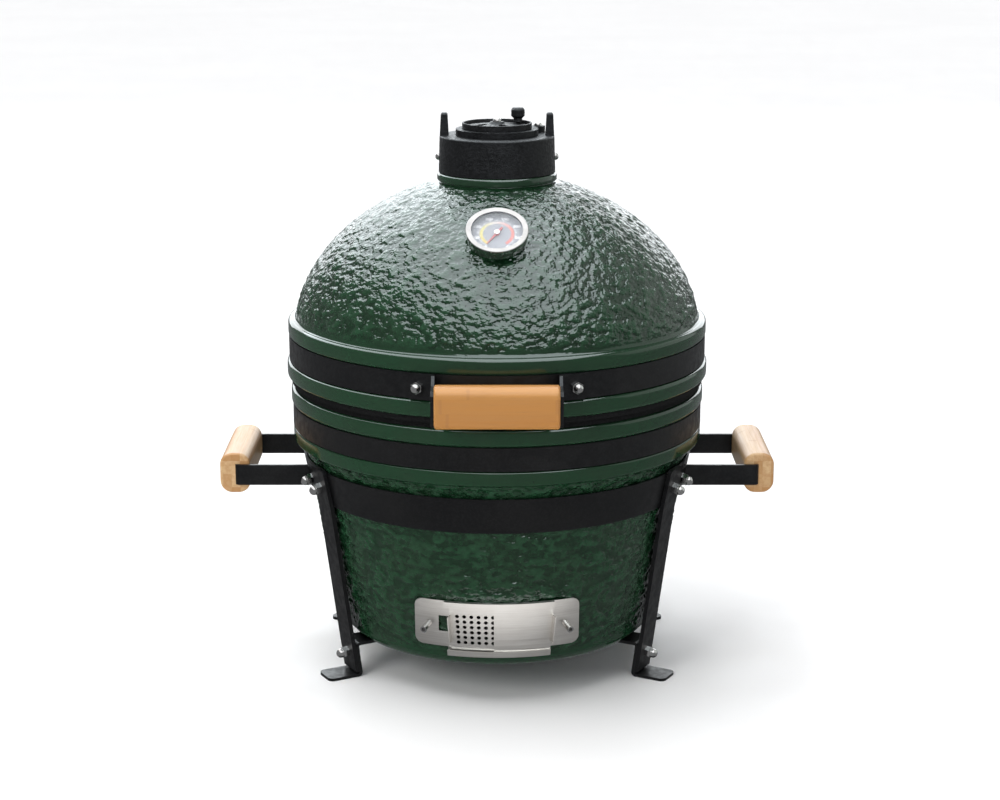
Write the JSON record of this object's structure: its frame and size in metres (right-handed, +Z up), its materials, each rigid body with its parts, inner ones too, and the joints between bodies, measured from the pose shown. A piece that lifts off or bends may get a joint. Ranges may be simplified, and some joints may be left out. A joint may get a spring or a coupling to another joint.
{
  "type": "ceramic kamado charcoal grill",
  "caption": "Compact egg-shaped ceramic charcoal grill with hinged lid, top and bottom air vents, dial thermometer, wooden handles and a low steel stand.",
  "frame": {"origin": "On the body's vertical axis at ground level, under the centre of the four feet.", "axes": "+Z up. The front of the grill, with the lid handle, thermometer and draught door, faces -Y; the lid hinge is at +Y. +X is to the right when facing the front."},
  "size_m": [0.55, 0.4813, 0.5558],
  "materials": {
    "green_glaze": "gloss",
    "raw_ceramic": "matt",
    "black_steel": "satin",
    "black_cast": "matt",
    "grate_iron": "matt",
    "polished_steel": "polished",
    "brushed_sheet": "brushed",
    "grate_steel": "satin",
    "spring_wire": "satin",
    "bamboo": "satin",
    "black_felt": "matt",
    "window_glass": "clear",
    "dial_face": "matt",
    "needle_red": "satin"
  },
  "bodies": {
    "base": {"base_shell": "green_glaze", "base_felt": "black_felt", "base_band": "black_steel", "base_clamp_bolts": "polished_steel", "base_clamp_nuts": "polished_steel", "hinge_base_bracket": "black_steel", "hinge_pin": "polished_steel", "hinge_pin_nuts": "polished_steel", "hinge_spring_left": "spring_wire", "hinge_spring_right": "spring_wire", "firebox": "raw_ceramic", "fire_ring": "raw_ceramic", "charcoal_grate": "grate_iron", "cooking_grate": "grate_steel", "stand_ring": "black_steel", "leg_front_left": "black_steel", "leg_front_right": "black_steel", "leg_rear_left": "black_steel", "leg_rear_right": "black_steel", "crossbar_upper": "black_steel", "crossbar_lower": "black_steel", "ring_studs": "polished_steel", "ring_nuts": "polished_steel", "foot_bolts": "polished_steel", "foot_nuts": "polished_steel", "side_strap_left": "black_steel", "side_strap_right": "black_steel", "side_grip_left": "bamboo", "side_grip_right": "bamboo", "draft_frame": "brushed_sheet", "draft_screws": "polished_steel"},
    "draft_door": {"draft_door": "brushed_sheet"},
    "draft_screen": {"draft_screen": "brushed_sheet"},
    "lid": {"lid_dome": "green_glaze", "lid_felt": "black_felt", "lid_band": "black_steel", "lid_clamp_bolts": "polished_steel", "lid_clamp_nuts": "polished_steel", "hinge_lid_bracket": "black_steel", "front_grip": "bamboo", "front_bracket_left": "black_steel", "front_bracket_right": "black_steel", "front_studs": "polished_steel", "front_nuts": "polished_steel", "front_end_screws": "polished_steel", "vent_collar": "black_cast", "collar_screws": "polished_steel", "damper_pivot_screw": "polished_steel", "thermometer_case": "polished_steel", "thermometer_bezel": "polished_steel", "thermometer_glass": "window_glass", "thermometer_dial": "dial_face", "thermometer_probe": "polished_steel", "thermometer_nut": "polished_steel"},
    "damper": {"damper_plate": "black_cast", "wheel_screw": "polished_steel"},
    "daisy_wheel": {"daisy_wheel": "black_cast", "wheel_knob": "black_cast"},
    "needle": {"thermometer_needle": "needle_red"}
  },
  "joints": [
    {"name": "lid_hinge", "type": "hinge", "parent": "base", "child": "lid", "pos_m": [0, 0.229, 0.2895], "axis": [-1, 0, 0], "range_deg": [0, 75], "stiffness_Nm_per_rad": 1.5, "springref_deg": 148.97, "deforming": ["hinge_spring_left", "hinge_spring_right"]},
    {"name": "damper_swing", "type": "hinge", "parent": "lid", "child": "damper", "pos_m": [0.0407, 0.0235, 0.534], "axis": [0, 0, -1], "range_deg": [0, 90]},
    {"name": "daisy_wheel_spin", "type": "hinge", "parent": "damper", "child": "daisy_wheel", "pos_m": [0, 0, 0.54], "axis": [0, 0, 1], "continuous": true},
    {"name": "draft_door_slide", "type": "hinge", "parent": "base", "child": "draft_door", "pos_m": [0, 0, 0.078], "axis": [0, 0, 1], "range_deg": [-13.4, 0]},
    {"name": "draft_screen_slide", "type": "hinge", "parent": "base", "child": "draft_screen", "pos_m": [0, 0, 0.078], "axis": [0, 0, 1], "range_deg": [0, 13.4]},
    {"name": "thermometer_needle_turn", "type": "hinge", "parent": "lid", "child": "needle", "pos_m": [0, -0.13577, 0.451], "axis": [0, 0.5837, -0.812], "range_deg": [0, 292]}
  ]
}
